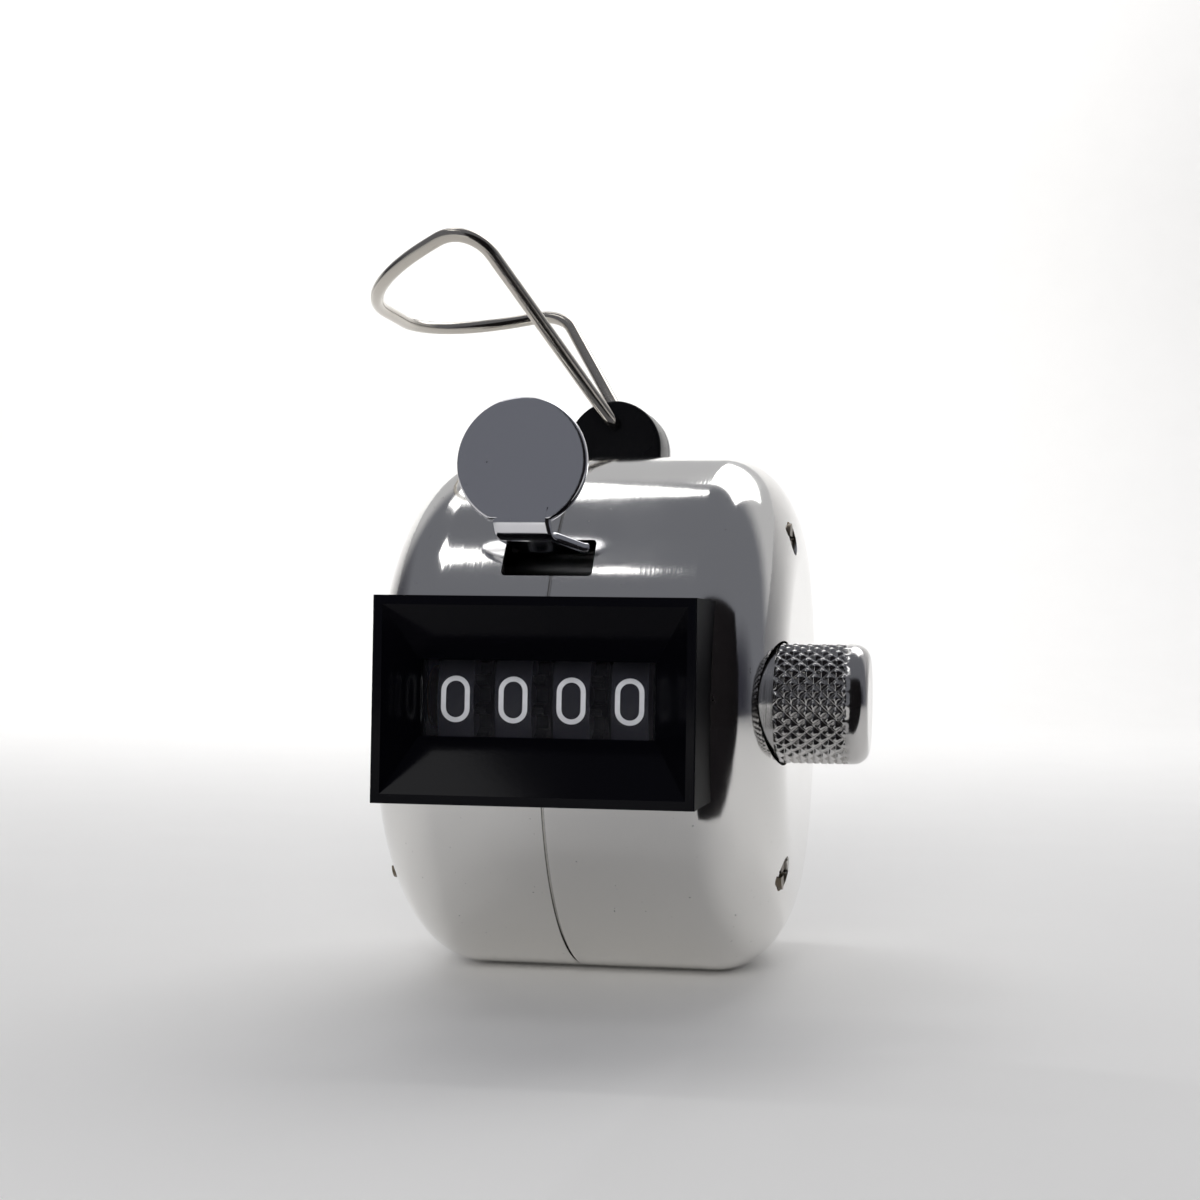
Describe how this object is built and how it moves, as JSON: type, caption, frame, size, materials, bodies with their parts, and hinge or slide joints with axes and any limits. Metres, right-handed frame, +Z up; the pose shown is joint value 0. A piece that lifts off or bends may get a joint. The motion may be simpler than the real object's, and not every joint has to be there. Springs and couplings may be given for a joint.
{
  "type": "hand tally counter",
  "caption": "Hand-held drum counter with a thumb lever, number wheels behind a framed window, a knurled reset knob and a swinging finger ring.",
  "frame": {"origin": "centre of the drum's flat left side face, on the drum axis", "axes": "+X along the drum axis towards the reset knob, -Y towards the window, +Z up towards the finger ring"},
  "size_m": [0.0483, 0.0562, 0.0643],
  "materials": {
    "chrome": "polished chrome plate on pressed steel",
    "black_plastic": "gloss black moulding",
    "wheel_plastic": "satin black moulding with white numerals",
    "lens": "clear acrylic",
    "plated_steel": "zinc-plated sheet and bar",
    "spring_steel": "bright spring wire",
    "brass": "turned or stamped brass",
    "nylon": "natural nylon",
    "ring_wire": "nickel-plated wire"
  },
  "bodies": {
    "casing": {"left_shell": "chrome", "right_shell": "chrome", "left_side_screws": "chrome", "right_side_screws": "chrome", "window_bezel": "black_plastic", "window_lens": "lens", "left_chassis_plate": "plated_steel", "right_chassis_plate": "plated_steel", "tie_rod_1": "plated_steel", "tie_rod_2": "plated_steel", "tie_rod_3": "plated_steel", "chassis_screws": "plated_steel", "left_shell_posts": "brass", "right_shell_posts": "brass", "left_shaft_bush": "brass", "right_shaft_bush": "brass", "cradle_axle": "plated_steel", "lever_axle": "plated_steel", "detent_comb": "spring_steel", "comb_bar": "plated_steel", "comb_rivets": "brass", "ring_holder": "black_plastic", "holder_cap": "chrome", "holder_screw": "plated_steel", "lever_spring": "spring_steel", "cradle_spring": "spring_steel"},
    "reset_knob": {"reset_shaft": "plated_steel", "reset_knob": "chrome", "knob_pin": "plated_steel", "shaft_clips": "spring_steel", "left_thrust_washer": "brass", "right_thrust_washer": "brass", "reset_cam": "plated_steel"},
    "thumb_lever": {"thumb_lever": "chrome", "lever_sleeve": "plated_steel", "drive_verge": "plated_steel"},
    "pinion_cradle": {"left_cradle_arm": "plated_steel", "right_cradle_arm": "plated_steel", "cradle_bar": "plated_steel"},
    "pinion_rod": {"pinion_rod": "plated_steel"},
    "finger_ring": {"finger_ring": "ring_wire"},
    "thousands_wheel": {"thousands_wheel": "wheel_plastic", "thousands_pickup_pawl": "brass"},
    "thousands_pinion": {"thousands_pinion": "nylon"},
    "hundreds_wheel": {"hundreds_wheel": "wheel_plastic", "hundreds_pickup_pawl": "brass"},
    "hundreds_pinion": {"hundreds_pinion": "nylon"},
    "tens_wheel": {"tens_wheel": "wheel_plastic", "tens_pickup_pawl": "brass"},
    "tens_pinion": {"tens_pinion": "nylon"},
    "units_wheel": {"units_wheel": "wheel_plastic", "units_pickup_pawl": "brass", "units_ratchet": "brass"}
  },
  "joints": [
    {"name": "reset_turn", "type": "hinge", "parent": "casing", "child": "reset_knob", "pos_m": [0, -0.0145, 0.0013], "axis": [1, 0, 0], "continuous": true},
    {"name": "lever_press", "type": "hinge", "parent": "casing", "child": "thumb_lever", "pos_m": [0, -0.0085, 0.012], "axis": [1, 0, 0], "range_deg": [0, 8.5], "stiffness_Nm_per_rad": 0.12, "springref_deg": -20.05, "deforming": ["lever_spring"]},
    {"name": "cradle_lift", "type": "hinge", "parent": "casing", "child": "pinion_cradle", "pos_m": [0, -0.00131, 0.00068], "axis": [1, 0, 0], "range_deg": [0, 11], "stiffness_Nm_per_rad": 0.01, "springref_deg": -17.19, "deforming": ["cradle_spring"]},
    {"name": "pinion_rod_turn", "type": "hinge", "parent": "pinion_cradle", "child": "pinion_rod", "pos_m": [0, -0.00646, -0.00545], "axis": [1, 0, 0], "continuous": true},
    {"name": "ring_swing", "type": "hinge", "parent": "casing", "child": "finger_ring", "pos_m": [0.0156, 0.009, 0.0264], "axis": [0, 1, 0], "range_deg": [-60, 120]},
    {"name": "thousands_turn", "type": "hinge", "parent": "reset_knob", "child": "thousands_wheel", "pos_m": [0, -0.0145, 0.0013], "axis": [1, 0, 0], "continuous": true},
    {"name": "thousands_pinion_turn", "type": "hinge", "parent": "pinion_rod", "child": "thousands_pinion", "pos_m": [0, -0.00646, -0.00545], "axis": [1, 0, 0], "continuous": true},
    {"name": "hundreds_turn", "type": "hinge", "parent": "reset_knob", "child": "hundreds_wheel", "pos_m": [0, -0.0145, 0.0013], "axis": [1, 0, 0], "continuous": true},
    {"name": "hundreds_pinion_turn", "type": "hinge", "parent": "pinion_rod", "child": "hundreds_pinion", "pos_m": [0, -0.00646, -0.00545], "axis": [1, 0, 0], "continuous": true},
    {"name": "tens_turn", "type": "hinge", "parent": "reset_knob", "child": "tens_wheel", "pos_m": [0, -0.0145, 0.0013], "axis": [1, 0, 0], "continuous": true},
    {"name": "tens_pinion_turn", "type": "hinge", "parent": "pinion_rod", "child": "tens_pinion", "pos_m": [0, -0.00646, -0.00545], "axis": [1, 0, 0], "continuous": true},
    {"name": "units_turn", "type": "hinge", "parent": "reset_knob", "child": "units_wheel", "pos_m": [0, -0.0145, 0.0013], "axis": [1, 0, 0], "continuous": true}
  ],
  "couplings": [
    {"joint": "pinion_rod_turn", "follows": "reset_turn", "ratio": -2.5},
    {"joint": "thousands_pinion_turn", "follows": "thousands_turn", "ratio": -2.5},
    {"joint": "hundreds_pinion_turn", "follows": "hundreds_turn", "ratio": -2.5},
    {"joint": "tens_pinion_turn", "follows": "tens_turn", "ratio": -2.5}
  ]
}
